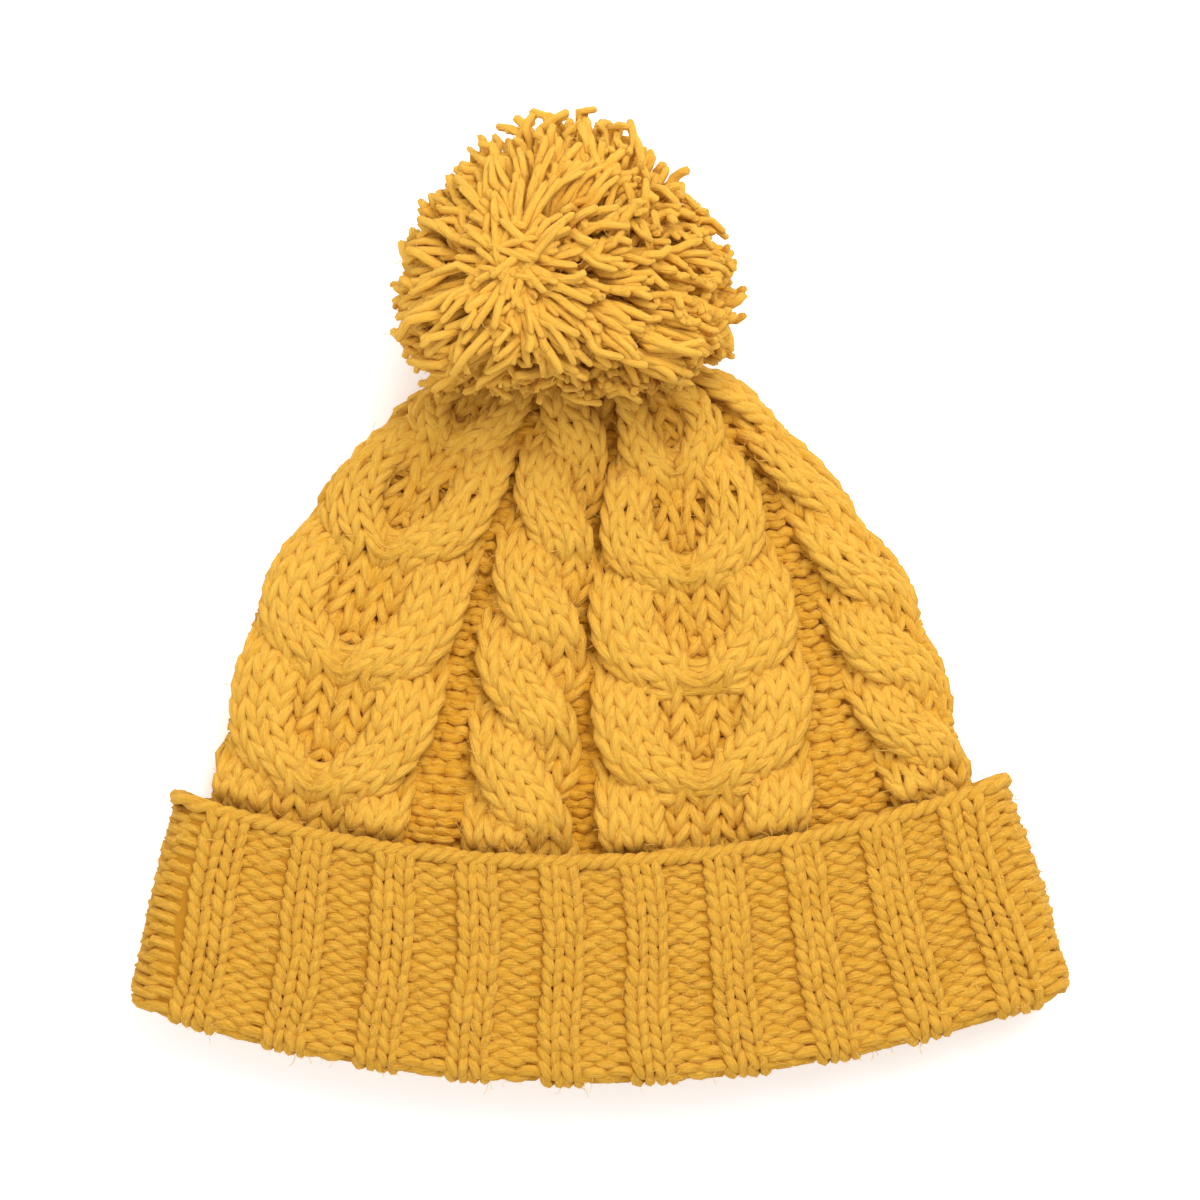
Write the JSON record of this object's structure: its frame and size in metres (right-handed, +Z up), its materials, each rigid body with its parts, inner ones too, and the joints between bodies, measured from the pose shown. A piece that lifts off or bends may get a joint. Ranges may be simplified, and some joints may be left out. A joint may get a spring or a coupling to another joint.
{
  "type": "bobble hat",
  "caption": "Chunky cable-knit winter hat with a turned-up ribbed cuff and a yarn pompom, lying flat with its opening at one end and its hollow open to a head.",
  "frame": {"origin": "centre of the bounding box, on the plane that the hat lies on", "axes": "+Z up from the surface through the lying hat, +Y from the open rim towards the pompom, +X to the right seen from above with the pompom away from the viewer"},
  "size_m": [0.2694, 0.2831, 0.076],
  "materials": {
    "mustard_cable": "mustard wool, matt and slightly fuzzy, cable knit",
    "mustard_rib": "mustard wool, matt and slightly fuzzy, ribbed knit",
    "mustard_yarn": "mustard wool, matt cut yarn"
  },
  "bodies": {
    "root": {"crown": "mustard_cable", "cuff": "mustard_rib", "pompom": "mustard_yarn"}
  },
  "joints": []
}
